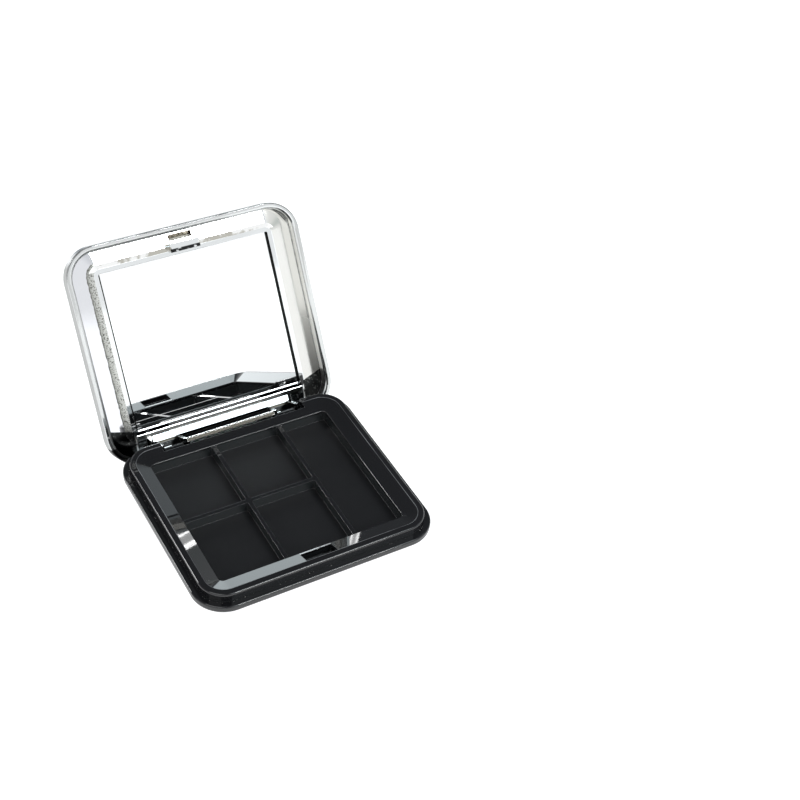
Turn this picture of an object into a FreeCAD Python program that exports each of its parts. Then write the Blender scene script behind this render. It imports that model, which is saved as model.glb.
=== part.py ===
import FreeCAD, Part
import math
import os

import Sketcher

# Pressed-powder palette: a black base with five wells, and a plated lid with a mirror.
# X runs along the hinge, +Y towards the hinge, +Z up. The origin is the middle of the foot.
# All sizes are in millimetres. The lid pieces are drawn shut and then turned open.

SIZES = {
    # outline shared by the base and the lid
    "caseWidth": 74.0,
    "caseDepth": 66.4,
    "cornerRadius": 9.7,
    # base shell
    "flangeHeight": 7.2,
    "wallHeight": 2.05,
    "footInsetSide": 9.5,
    "footInsetFront": 6.9,
    "footInsetBack": 5.0,
    "footRadius": 6.0,
    "shellFloor": 1.2,
    "shellSkin": 1.8,
    "seatDepth": 1.3,
    "seatLedge": 1.35,
    "flangeRound": 0.5,
    "wallRound": 0.8,
    # well tray
    "plinthInset": 2.05,
    "plinthRise": 2.85,
    "plinthRound": 0.55,
    "ledgeWidth": 1.9,
    "bevelSide": 4.35,
    "bevelFront": 4.85,
    "bevelBack": 4.45,
    "bevelDrop": 1.9,
    "bevelCorner": 1.4,
    "bevelRound": 0.3,
    "mouthRound": 0.25,
    "traySkin": 1.2,
    "trayFloor": 1.0,
    "trayGap": 0.05,
    "wellDepth": 3.8,
    "wellCorner": 0.6,
    "ribWidth": 1.2,
    "ribDrop": 0.5,
    "ribOne": 8.4,
    "ribTwo": 13.1,
    "ribCross": 0.4,
    # snap latch
    "catchWidth": 9.7,
    "catchWall": 0.8,
    "catchBead": 0.9,
    "catchBeadHeight": 0.7,
    "hookWidth": 9.3,
    "hookThick": 1.6,
    "hookReach": 2.1,
    "hookNose": 1.0,
    "hookNoseHeight": 0.7,
    "hookGap": 0.1,
    "coreWidth": 7.2,
    "coreDepth": 1.7,
    "coreInset": 2.65,
    # hinge
    "hingeInset": 2.1,
    "hingeDrop": 2.0,
    "openAngle": 122.5,
    "pinRadius": 0.5,
    "pinClearance": 0.03,
    "pinInset": 0.2,
    "knuckleRadius": 1.2,
    "knuckleGap": 0.1,
    "armWidth": 6.0,
    "armUnder": 0.68,
    "armSideGap": 0.2,
    "armInner": 15.6,
    "webWidth": 1.8,
    "lugWidth": 1.2,
    "blockReach": 2.6,
    "blockDrop": 1.6,
    "blockWall": 1.3,
    "skirtDrop": 0.6,
    "notchGap": 0.6,
    "notchWall": 1.2,
    "reliefWidth": 68.0,
    # lid shell
    "lidHeight": 4.7,
    "lidGap": 0.1,
    "lidRound": 0.6,
    "rimWidth": 1.8,
    "rimRound": 0.3,
    "rimShoulder": 0.9,
    "roofGap": 0.7,
    # top plate
    "plateInset": 0.9,
    "plateGap": 0.05,
    "plateThick": 0.45,
    "plateRound": 0.2,
    "plateTape": 0.1,
    "plateTapeInset": 1.2,
    # mirror and its frame
    "frameRise": 1.6,
    "frameGap": 0.05,
    "frameCorner": 1.5,
    "landWidth": 1.3,
    "windowSide": 9.84,
    "windowFront": 8.62,
    "windowBack": 9.5,
    "windowCorner": 0.6,
    "barWidth": 2.2,
    "glassStep": 0.35,
    "glassTape": 0.15,
    "glassLap": 0.5,
    "glassGap": 0.1,
    "glassTapeInset": 1.0,
}

# Places worked out from the sizes above.
PLACES = {
    "halfWidth": "caseWidth / 2",
    "halfDepth": "caseDepth / 2",
    "wallBase": "flangeHeight - wallHeight",
    "seatLevel": "flangeHeight - seatDepth",
    "seatInset": "plinthInset - trayGap",
    "cavityInset": "plinthInset + seatLedge",
    "plinthTop": "flangeHeight + plinthRise",
    "bevelInset": "plinthInset + ledgeWidth",
    "mouthSide": "bevelInset + bevelSide",
    "mouthFront": "bevelInset + bevelFront",
    "mouthBack": "bevelInset + bevelBack",
    "mouthLevel": "plinthTop - bevelDrop",
    "ribLevel": "mouthLevel - ribDrop",
    "floorLevel": "mouthLevel - wellDepth",
    "hingeY": "halfDepth - hingeInset",
    "hingeZ": "flangeHeight - hingeDrop",
    "blockFront": "hingeY - blockReach",
    "blockSweep": "sqrt(blockReach * blockReach + blockDrop * blockDrop)",
    "notchFront": "hingeY - blockSweep - notchGap",
    "armOuter": "armInner + armWidth",
    "webInner": "armInner - armSideGap - webWidth",
    "lugOuter": "armOuter + armSideGap + lugWidth",
    "notchHalf": "lugOuter + armSideGap",
    "skirtInner": "knuckleRadius + knuckleGap",
    "lidRim": "flangeHeight + lidGap",
    "lidTop": "flangeHeight + lidHeight",
    "lidRoof": "plinthTop + roofGap",
    "plateFloor": "lidTop - plateThick - plateTape",
    "crestLevel": "lidRoof - frameRise",
    "glassFace": "crestLevel + glassStep",
    "glassThick": "lidRoof - glassTape - glassFace",
    "crestSide": "windowSide - landWidth",
    "crestFront": "windowFront - landWidth",
    "crestBack": "windowBack - landWidth",
    "catchFront": "halfDepth - bevelInset - trayGap",
    "catchBack": "halfDepth - mouthFront + catchWall",
    "hookFront": "catchFront - catchBead - hookNose - hookGap",
    "hookTip": "crestLevel - hookReach",
    "beadLevel": "hookTip + hookNoseHeight + hookGap",
}

SIDES = (("left", -1), ("right", 1))

doc = FreeCAD.newDocument("palette")
sheet = doc.addObject("Spreadsheet::Sheet", "dims")
row = 0
for alias, value in SIZES.items():
    row += 1
    sheet.set("A%d" % row, alias)
    sheet.set("B%d" % row, str(value))
    sheet.setAlias("B%d" % row, alias)
for alias, formula in PLACES.items():
    row += 1
    sheet.set("A%d" % row, alias)
    sheet.set("B%d" % row, "=" + formula)
    sheet.setAlias("B%d" % row, alias)
doc.recompute()

NAMES = sorted(list(SIZES) + list(PLACES), key=len, reverse=True)


def bind(text):
    """Returns an expression whose names point at the sheet's cells."""
    out, word = "", ""
    for char in text + " ":
        if char.isalnum():
            word += char
            continue
        out += ("dims." + word if word in NAMES else word) + char
        word = ""
    return out.strip()


def number(text):
    """Returns the present value of an expression in the sheet's names."""
    values = {name: float(sheet.get(name)) for name in NAMES}
    return float(sheet.evalExpression(bind(text))) if text not in values else values[text]


class Piece:
    """One separate part of the palette, built as a body of features."""

    def __init__(self, label):
        self.body = doc.addObject("PartDesign::Body", label)
        self.body.Label = label
        self.count = 0

    def plane(self):
        """Returns the body's own ground plane."""
        for item in self.body.Origin.OriginFeatures:
            if item.Role == "XY_Plane":
                return item
        raise RuntimeError("no ground plane")

    def name(self, kind):
        """Returns a fresh object name."""
        self.count += 1
        return "%s_%s_%d" % (self.body.Name, kind, self.count)

    def outline(self, level, left, front, right, back, radius, across="0", along="0"):
        """Draws a rounded rectangle at a height, by its four reaches from a centre."""
        sketch = self.body.newObject("Sketcher::SketchObject", self.name("outline"))
        sketch.AttachmentSupport = (self.plane(), [""])
        sketch.MapMode = "FlatFace"
        sketch.setExpression("AttachmentOffset.Base.x", bind(across))
        sketch.setExpression("AttachmentOffset.Base.y", bind(along))
        sketch.setExpression("AttachmentOffset.Base.z", bind(level))
        x0, y0, x1, y1 = -number(left), -number(front), number(right), number(back)
        r = number(radius)
        up = FreeCAD.Vector(0, 0, 1)

        def point(x, y):
            return FreeCAD.Vector(x, y, 0)

        def corner(x, y, start):
            circle = Part.Circle(point(x, y), up, r)
            return Part.ArcOfCircle(circle, math.radians(start), math.radians(start + 90))

        sketch.addGeometry([
            Part.LineSegment(point(x0 + r, y0), point(x1 - r, y0)),
            corner(x1 - r, y0 + r, 270),
            Part.LineSegment(point(x1, y0 + r), point(x1, y1 - r)),
            corner(x1 - r, y1 - r, 0),
            Part.LineSegment(point(x1 - r, y1), point(x0 + r, y1)),
            corner(x0 + r, y1 - r, 90),
            Part.LineSegment(point(x0, y1 - r), point(x0, y0 + r)),
            corner(x0 + r, y0 + r, 180),
        ], False)
        rules = [Sketcher.Constraint("Tangent", i, 2, (i + 1) % 8, 1) for i in range(8)]
        rules += [Sketcher.Constraint("Horizontal", 0), Sketcher.Constraint("Horizontal", 4)]
        rules += [Sketcher.Constraint("Vertical", 2), Sketcher.Constraint("Vertical", 6)]
        rules += [Sketcher.Constraint("Equal", 1, i) for i in (3, 5, 7)]
        sketch.addConstraint(rules)
        driven = (
            ("reachRight", Sketcher.Constraint("DistanceX", -1, 1, 2, 1, x1), right),
            ("reachLeft", Sketcher.Constraint("DistanceX", 6, 1, -1, 1, -x0), left),
            ("reachBack", Sketcher.Constraint("DistanceY", -1, 1, 4, 1, y1), back),
            ("reachFront", Sketcher.Constraint("DistanceY", 0, 1, -1, 1, -y0), front),
            ("turnRadius", Sketcher.Constraint("Radius", 1, r), radius),
        )
        for label, rule, expression in driven:
            index = sketch.addConstraint(rule)
            sketch.renameConstraint(index, label)
            sketch.setExpression("Constraints." + label, bind(expression))
        return sketch

    def ring(self, level, inset):
        """Draws the case outline at a height, set in evenly by a distance."""
        across = "halfWidth - (%s)" % inset
        along = "halfDepth - (%s)" % inset
        return self.outline(level, across, along, across, along, "cornerRadius - (%s)" % inset)

    def opening(self, level, side, front, back, radius):
        """Draws a rectangle set in from the case outline by its own amount on each side."""
        across = "halfWidth - (%s)" % side
        return self.outline(level, across, "halfDepth - (%s)" % front, across,
                            "halfDepth - (%s)" % back, radius)

    def pad(self, sketch, length):
        """Raises a sketch."""
        pad = self.body.newObject("PartDesign::Pad", self.name("pad"))
        pad.Profile = sketch
        pad.setExpression("Length", bind(length))
        doc.recompute()
        return pad

    def pocket(self, sketch, length, upward=False):
        """Cuts a sketch down, or up, into the body."""
        before = self.body.Shape.Volume
        pocket = self.body.newObject("PartDesign::Pocket", self.name("pocket"))
        pocket.Profile = sketch
        pocket.Reversed = upward
        pocket.setExpression("Length", bind(length))
        doc.recompute()
        self.shrunk(before, pocket)
        return pocket

    def loft(self, kind, first, second):
        """Adds or cuts a straight-sided solid between two sketches."""
        before = self.body.Shape.Volume if kind == "Subtractive" else 0.0
        loft = self.body.newObject("PartDesign::%sLoft" % kind, self.name("loft"))
        loft.Profile = first
        loft.Sections = [second]
        loft.Ruled = True
        doc.recompute()
        if kind == "Subtractive":
            self.shrunk(before, loft)
        return loft

    def box(self, kind, x, y, z, wide, deep, tall):
        """Adds or cuts a box by its least corner and its three sizes."""
        before = self.body.Shape.Volume if kind == "Subtractive" else 0.0
        box = self.body.newObject("PartDesign::%sBox" % kind, self.name("box"))
        for axis, expression in zip("xyz", (x, y, z)):
            box.setExpression("Placement.Base." + axis, bind(expression))
        for size, expression in (("Length", wide), ("Width", deep), ("Height", tall)):
            box.setExpression(size, bind(expression))
        doc.recompute()
        if kind == "Subtractive":
            self.shrunk(before, box)
        return box

    def rod(self, kind, x, radius, length):
        """Adds or cuts a round bar along the hinge line, from x towards +X."""
        before = self.body.Shape.Volume if kind == "Subtractive" else 0.0
        rod = self.body.newObject("PartDesign::%sCylinder" % kind, self.name("rod"))
        rod.Placement = FreeCAD.Placement(FreeCAD.Vector(), FreeCAD.Rotation(FreeCAD.Vector(0, 1, 0), 90))
        for axis, expression in zip("xyz", (x, "hingeY", "hingeZ")):
            rod.setExpression("Placement.Base." + axis, bind(expression))
        rod.setExpression("Radius", bind(radius))
        rod.setExpression("Height", bind(length))
        doc.recompute()
        if kind == "Subtractive":
            self.shrunk(before, rod)
        return rod

    def shrunk(self, before, feature):
        """Checks that a cut removed something."""
        if not self.body.Shape.Volume < before - 1e-4:
            raise RuntimeError("%s cut nothing" % feature.Name)

    def rim_edges(self, level, side, front, back, radius):
        """Lists the edges at a height that lie on a rounded rectangle set in from the case."""
        half_x = number("halfWidth") - number(side)
        low, high = number(front) - number("halfDepth"), number("halfDepth") - number(back)
        half_y, middle = (high - low) / 2, (high + low) / 2
        r, z = number(radius), number(level)
        found = []
        for index, edge in enumerate(self.body.Tip.Shape.Edges, 1):
            spot = edge.valueAt((edge.FirstParameter + edge.LastParameter) / 2)
            if any(abs(v.Point.z - z) > 1e-3 for v in edge.Vertexes) or abs(spot.z - z) > 1e-3:
                continue
            qx = abs(spot.x) - half_x + r
            qy = abs(spot.y - middle) - half_y + r
            away = math.hypot(max(qx, 0), max(qy, 0)) + min(max(qx, qy), 0) - r
            if abs(away) < 1e-2:
                found.append("Edge%d" % index)
        if not found:
            raise RuntimeError("no edges at %s" % level)
        return found

    def fillet(self, names, radius):
        """Rounds edges of the last feature."""
        tip = self.body.Tip
        fillet = self.body.newObject("PartDesign::Fillet", self.name("round"))
        fillet.Base = (tip, names)
        fillet.setExpression("Radius", bind(radius))
        doc.recompute()
        return fillet

    def turn_open(self):
        """Turns a piece of the lid about the hinge line to its open place."""
        y, z, angle = bind("hingeY"), bind("hingeZ"), bind("openAngle")
        self.body.Placement = FreeCAD.Placement(
            FreeCAD.Vector(), FreeCAD.Rotation(FreeCAD.Vector(1, 0, 0), -number("openAngle")))
        self.body.setExpression("Placement.Rotation.Angle", "%s * 1 deg" % angle)
        turn = {"y": y, "z": z, "c": "cos(%s * 1 deg)" % angle, "s": "sin(%s * 1 deg)" % angle}
        self.body.setExpression("Placement.Base.y", "%(y)s - %(y)s * %(c)s - %(z)s * %(s)s" % turn)
        self.body.setExpression("Placement.Base.z", "%(z)s + %(y)s * %(s)s - %(z)s * %(c)s" % turn)
        self.body.Placement.Rotation = FreeCAD.Rotation(FreeCAD.Vector(-1, 0, 0), number("openAngle"))
        doc.recompute()


def span(sign, inner, outer):
    """Returns the least x and the width of a strip from inner to outer on one side."""
    wide = "(%s) - (%s)" % (outer, inner)
    return (inner if sign > 0 else "0 - (%s)" % outer), wide


def make_base_shell():
    """The outer base: a shallow hull with a flange, open inside, and two hinge arms at the back."""
    piece = Piece("base_shell")
    foot = piece.opening("0", "footInsetSide", "footInsetFront", "footInsetBack", "footRadius")
    piece.loft("Additive", foot, piece.ring("wallBase", "0"))
    piece.pad(piece.ring("wallBase", "0"), "wallHeight")
    piece.fillet(piece.rim_edges("flangeHeight", "0", "0", "0", "cornerRadius"), "flangeRound")
    piece.fillet(piece.rim_edges("wallBase", "0", "0", "0", "cornerRadius"), "wallRound")
    piece.pocket(piece.ring("flangeHeight", "seatInset"), "seatDepth")
    floor = piece.opening("shellFloor", "footInsetSide + shellSkin - shellFloor",
                          "footInsetFront + shellSkin - shellFloor",
                          "footInsetBack + shellSkin - shellFloor", "footRadius - shellSkin")
    piece.loft("Subtractive", piece.ring("seatLevel", "cavityInset"), floor)
    # walls that close the hinge notch off from the inside
    piece.box("Additive", "0 - notchHalf - notchWall", "notchFront - notchWall", "shellFloor / 2",
              "2 * (notchHalf + notchWall)", "notchWall",
              "mouthLevel - traySkin - shellFloor / 2 + ribDrop")
    for _, sign in SIDES:
        x, wide = span(sign, "notchHalf", "notchHalf + notchWall")
        piece.box("Additive", x, "notchFront - trayGap", "seatLevel - notchWall * 2.2",
                  wide, "halfDepth - cavityInset - notchFront + 4 * trayGap", "notchWall * 2.2")
    piece.box("Subtractive", "0 - notchHalf", "notchFront", "0 - shellFloor",
              "2 * notchHalf", "hingeInset + blockReach + cornerRadius", "flangeHeight + 2 * shellFloor")
    piece.box("Subtractive", "0 - reliefWidth / 2", "halfDepth - seatInset", "0 - shellFloor",
              "reliefWidth", "cornerRadius", "flangeHeight + 2 * shellFloor")
    # hinge arms with their knuckles
    for _, sign in SIDES:
        x, wide = span(sign, "armInner", "armOuter")
        piece.box("Additive", x, "notchFront - notchWall / 2", "hingeZ - armUnder",
                  wide, "hingeY - notchFront + notchWall / 2", "armUnder + knuckleRadius")
        piece.rod("Additive", x, "knuckleRadius", "armWidth")
        piece.rod("Subtractive", x, "pinRadius", "armWidth")
    return piece


def make_well_tray():
    """The inner tray: a raised plinth, a bevel all round and five wells between thin ribs."""
    piece = Piece("well_tray")
    piece.pad(piece.ring("seatLevel", "plinthInset"), "seatDepth + plinthRise")
    piece.fillet(piece.rim_edges("plinthTop", "plinthInset", "plinthInset", "plinthInset",
                                 "cornerRadius - plinthInset"), "plinthRound")
    # hollow underneath, with the bevel and the wells let down into it
    piece.pocket(piece.ring("seatLevel", "plinthInset + traySkin"), "seatDepth + plinthRise - traySkin",
                 upward=True)
    funnel = piece.ring("plinthTop - traySkin", "bevelInset")
    neck = piece.opening("mouthLevel - traySkin", "mouthSide", "mouthFront", "mouthBack", "bevelCorner")
    piece.loft("Additive", funnel, neck)
    block = piece.opening("floorLevel - trayFloor", "mouthSide - traySkin", "mouthFront - traySkin",
                          "mouthBack - traySkin", "bevelCorner + traySkin")
    piece.pad(block, "wellDepth + trayFloor - traySkin + traySkin * bevelDrop / bevelSide + trayGap")
    bevel = piece.ring("plinthTop", "bevelInset")
    mouth = piece.opening("mouthLevel", "mouthSide", "mouthFront", "mouthBack", "bevelCorner")
    piece.loft("Subtractive", bevel, mouth)
    step = piece.opening("mouthLevel", "mouthSide", "mouthFront", "mouthBack", "bevelCorner")
    piece.pocket(step, "ribDrop")
    piece.fillet(piece.rim_edges("mouthLevel", "mouthSide", "mouthFront", "mouthBack", "bevelCorner"),
                 "mouthRound")
    piece.fillet(piece.rim_edges("plinthTop", "bevelInset", "bevelInset", "bevelInset",
                                 "cornerRadius - bevelInset"), "bevelRound")
    # each well is given by its four sides
    left, right = "mouthSide - halfWidth", "halfWidth - mouthSide"
    front, back = "mouthFront - halfDepth", "halfDepth - mouthBack"
    wells = (
        (left, "0 - ribOne - ribWidth / 2", front, "ribCross - ribWidth / 2"),
        (left, "0 - ribOne - ribWidth / 2", "ribCross + ribWidth / 2", back),
        ("0 - ribOne + ribWidth / 2", "ribTwo - ribWidth / 2", front, "ribCross - ribWidth / 2"),
        ("0 - ribOne + ribWidth / 2", "ribTwo - ribWidth / 2", "ribCross + ribWidth / 2", back),
        ("ribTwo + ribWidth / 2", right, front, back),
    )
    for x0, x1, y0, y1 in wells:
        wide = "((%s) - (%s)) / 2" % (x1, x0)
        deep = "((%s) - (%s)) / 2" % (y1, y0)
        across = "((%s) + (%s)) / 2" % (x1, x0)
        along = "((%s) + (%s)) / 2" % (y1, y0)
        sketch = piece.outline("ribLevel", wide, deep, wide, deep, "wellCorner", across, along)
        piece.pocket(sketch, "wellDepth - ribDrop")
    # end walls beside the hinge notch, then the notch itself
    for _, sign in SIDES:
        x, wide = span(sign, "notchHalf - trayGap", "notchHalf + traySkin")
        piece.box("Additive", x, "notchFront + trayGap", "seatLevel", wide,
                  "halfDepth - plinthInset - traySkin - notchFront + trayGap",
                  "seatDepth + plinthRise - traySkin + trayGap")
    piece.box("Subtractive", "0 - notchHalf", "notchFront", "seatLevel - traySkin",
              "2 * notchHalf", "hingeInset + blockReach + cornerRadius",
              "seatDepth + plinthRise + 2 * traySkin")
    # pocket for the latch hook, with a backed bead that the hook snaps under
    piece.box("Additive", "0 - catchWidth / 2 - catchWall", "plinthInset + traySkin - halfDepth - trayGap",
              "seatLevel", "catchWidth + 2 * catchWall",
              "halfDepth - plinthInset - traySkin + trayGap - catchFront",
              "seatDepth + plinthRise - traySkin + trayGap")
    piece.box("Subtractive", "0 - catchWidth / 2", "0 - catchFront", "mouthLevel - wellDepth + trayFloor",
              "catchWidth", "catchFront - catchBack",
              "plinthTop + traySkin - mouthLevel + wellDepth - trayFloor")
    piece.box("Additive", "0 - catchWidth / 2", "0 - catchFront - trayGap", "beadLevel",
              "catchWidth", "catchBead + trayGap", "catchBeadHeight")
    return piece


def make_hinge_pin(side, sign):
    """A plain steel pin, held in the base's arm and turning in the lid's two lugs."""
    piece = Piece("hinge_pin_" + side)
    x, wide = span(sign, "webInner + pinInset", "lugOuter - pinInset")
    piece.rod("Additive", x, "pinRadius", wide)
    return piece


def make_lid_shell():
    """The plated lid: a shallow cover with a flat rim, a recess for the plate and the hinge block."""
    piece = Piece("lid_shell")
    piece.pad(piece.ring("lidRim", "0"), "lidTop - lidRim")
    piece.fillet(piece.rim_edges("lidTop", "0", "0", "0", "cornerRadius"), "lidRound")
    piece.fillet(piece.rim_edges("lidRim", "0", "0", "0", "cornerRadius"), "rimRound")
    piece.pocket(piece.ring("lidTop", "plateInset"), "plateThick + plateTape")
    piece.pocket(piece.ring("lidRim", "rimWidth"), "lidRoof - lidRim", upward=True)
    piece.fillet(piece.rim_edges("lidRim", "rimWidth", "rimWidth", "rimWidth", "cornerRadius - rimWidth"),
                 "rimShoulder")
    # hinge block: a front wall, two webs, two end lugs and the skirt behind
    rise = "lidRoof - hingeZ + blockDrop + trayGap"
    piece.box("Additive", "0 - webInner - webWidth", "blockFront", "hingeZ - blockDrop",
              "2 * (webInner + webWidth)", "blockWall", rise)
    for _, sign in SIDES:
        for inner, outer in (("webInner", "webInner + webWidth"), ("lugOuter - lugWidth", "lugOuter")):
            x, wide = span(sign, inner, outer)
            piece.box("Additive", x, "blockFront", "hingeZ - blockDrop", wide,
                      "blockReach + skirtInner + trayGap", rise)
    piece.box("Additive", "0 - lugOuter", "hingeY + skirtInner", "hingeZ - skirtDrop",
              "2 * lugOuter", "hingeInset - skirtInner", "lidRim - hingeZ + skirtDrop + rimRound + trayGap")
    for _, sign in SIDES:
        x, wide = span(sign, "webInner - pinInset", "lugOuter + pinInset")
        piece.rod("Subtractive", x, "pinRadius + pinClearance", wide)
    # opening behind the latch hook
    piece.box("Subtractive", "0 - coreWidth / 2", "coreInset - halfDepth", "lidRoof - trayGap",
              "coreWidth", "coreDepth", "lidTop - lidRoof")
    piece.turn_open()
    return piece


def make_lid_plate():
    """The bright plate let into the top of the lid."""
    piece = Piece("lid_plate")
    inset = "plateInset + plateGap"
    piece.pad(piece.ring("plateFloor + plateTape", inset), "plateThick")
    edges = piece.rim_edges("lidTop", inset, inset, inset, "cornerRadius - plateInset - plateGap")
    piece.fillet(edges, "plateRound")
    piece.turn_open()
    return piece


def make_plate_tape():
    """The adhesive sheet under the plate."""
    piece = Piece("plate_tape")
    inset = "plateInset + plateGap + plateTapeInset + coreDepth"
    piece.pad(piece.ring("plateFloor", inset), "plateTape")
    piece.turn_open()
    return piece


def make_mirror_frame():
    """The plated frame round the mirror, sloped to nest over the bevel, with the latch hook."""
    piece = Piece("mirror_frame")
    crest = piece.opening("crestLevel", "crestSide", "crestFront", "crestBack", "frameCorner")
    piece.loft("Additive", crest, piece.ring("lidRoof", "rimWidth + frameGap"))
    window = piece.opening("lidRoof", "windowSide", "windowFront", "windowBack", "windowCorner")
    piece.pocket(window, "frameRise + glassStep")
    lap = "(glassLap + glassGap)"
    seat = piece.opening("lidRoof", "windowSide - " + lap, "windowFront - " + lap, "windowBack - " + lap,
                         "windowCorner")
    piece.pocket(seat, "lidRoof - glassFace")
    # room for the lid's hinge block
    piece.box("Subtractive", "0 - notchHalf", "blockFront - barWidth", "crestLevel - frameRise",
              "2 * notchHalf", "hingeInset + blockReach + barWidth", "3 * frameRise")
    # slot over the opening in the lid, which lets the hook be moulded
    piece.box("Subtractive", "0 - coreWidth / 2", "coreInset - halfDepth", "lidRoof - frameRise",
              "coreWidth", "coreDepth", "frameRise + frameGap")
    # latch hook with its nose towards the front
    piece.box("Additive", "0 - hookWidth / 2", "0 - hookFront", "hookTip",
              "hookWidth", "hookThick", "lidRoof - hookTip - frameRise / 2")
    piece.box("Additive", "0 - hookWidth / 2", "0 - hookFront - hookNose", "hookTip",
              "hookWidth", "hookNose + trayGap", "hookNoseHeight")
    piece.turn_open()
    return piece


def make_mirror():
    """The mirror glass, its edges behind the frame's lip."""
    piece = Piece("mirror")
    glass = piece.opening("glassFace", "windowSide - glassLap", "windowFront - glassLap",
                          "windowBack - glassLap", "windowCorner")
    piece.pad(glass, "glassThick")
    piece.turn_open()
    return piece


def make_mirror_tape():
    """The adhesive pad between the mirror and the lid."""
    piece = Piece("mirror_tape")
    pad = piece.opening("lidRoof - glassTape", "windowSide + glassTapeInset",
                        "windowFront + glassTapeInset", "windowBack + glassTapeInset", "windowCorner")
    piece.pad(pad, "glassTape")
    piece.turn_open()
    return piece


pieces = [
    make_base_shell(),
    make_well_tray(),
    make_hinge_pin("left", -1),
    make_hinge_pin("right", 1),
    make_lid_shell(),
    make_lid_plate(),
    make_plate_tape(),
    make_mirror_frame(),
    make_mirror(),
    make_mirror_tape(),
]
doc.recompute()

for item in doc.Objects:
    if "Invalid" in item.State or "Error" in item.State:
        raise RuntimeError("%s failed: %s" % (item.Name, item.State))
for piece in pieces:
    shape = piece.body.Shape
    if shape.isNull() or not shape.isValid() or len(shape.Solids) != 1:
        raise RuntimeError("%s is not one valid solid: %d" % (piece.body.Label, len(shape.Solids)))

os.makedirs("parts", exist_ok=True)
for piece in pieces:
    shape = piece.body.Shape
    shape.exportStep("parts/%s.step" % piece.body.Label)
    box = shape.BoundBox
    print("%-16s %9.1f mm3  x %6.2f %6.2f  y %6.2f %6.2f  z %6.2f %6.2f" % (
        piece.body.Label, shape.Volume, box.XMin, box.XMax, box.YMin, box.YMax, box.ZMin, box.ZMax))
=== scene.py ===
"""Looks for the eyeshadow palette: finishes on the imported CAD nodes, a pale floor, studio light and camera.

Everything is in metres, in the CAD model's own frame: X along the hinge, +Y towards the hinge, +Z up.
"""

from __future__ import annotations

import logging
import math
from dataclasses import dataclass
from enum import Enum
from functools import cached_property

import bpy
import numpy as np
from mathutils import Matrix, Vector


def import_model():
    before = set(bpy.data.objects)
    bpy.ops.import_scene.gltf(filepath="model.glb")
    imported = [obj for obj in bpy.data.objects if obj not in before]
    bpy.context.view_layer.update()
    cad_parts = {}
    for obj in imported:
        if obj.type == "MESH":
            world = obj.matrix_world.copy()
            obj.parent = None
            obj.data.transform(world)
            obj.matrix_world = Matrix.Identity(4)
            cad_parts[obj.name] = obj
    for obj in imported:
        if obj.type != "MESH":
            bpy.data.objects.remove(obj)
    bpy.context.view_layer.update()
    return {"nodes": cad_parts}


LOG = logging.getLogger("palette")
Colour = tuple[float, float, float]
Point = tuple[float, float, float]
Span = tuple[float, float]
Socket = bpy.types.NodeSocket

MM = 0.001

# How far the ends of a mask are softened, and how far from a flat face still counts as on it.
HAIR = 0.03 * MM
FINE = 0.04 * MM
SOFT = 0.05 * MM
FACE = 0.08 * MM
WIDE = 0.10 * MM

# The middle of the hinge line, how far the lid stands open, and how far its bright faces lean.
HINGE: Point = (0.0, 31.1 * MM, 5.2 * MM)
OPEN_ANGLE = math.radians(122.5)
LEAN = math.radians(12.9)

# The cosines between a rounded normal and the true one where an edge begins to count and counts in full.
EDGE_RAMP: Span = (0.995, 0.80)
EDGE_SAMPLES = 8

# The slot beside the latch hook, with the lid shut.
SLOT_HALF = 3.75 * MM
SLOT_DEPTH: Span = (-30.7 * MM, -28.72 * MM)
SLOT_HEIGHT: Span = (9.0 * MM, 11.6 * MM)


class Body(Enum):
    """The two rigid bodies of the palette."""

    BASE = "base"
    LID = "lid"


@dataclass(frozen=True)
class Outline:
    """A rounded rectangle in plan, centred across the hinge."""

    half: Span
    radius: float
    centre: float = 0.0


CASE = Outline((37.0 * MM, 33.2 * MM), 9.7 * MM)
WINDOW = Outline((27.16 * MM, 24.14 * MM), 0.6 * MM, -0.44 * MM)


@dataclass(frozen=True)
class Grain:
    """Cloudy noise of a scale in cycles per metre, read through a ramp between two results."""

    scale: float
    detail: float
    ramp: Span
    ends: Span = (0.0, 1.0)


def scaled(colour: Colour, factor: float) -> Colour:
    """Returns a colour made lighter or darker."""
    return tuple(factor * value for value in colour)


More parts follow.
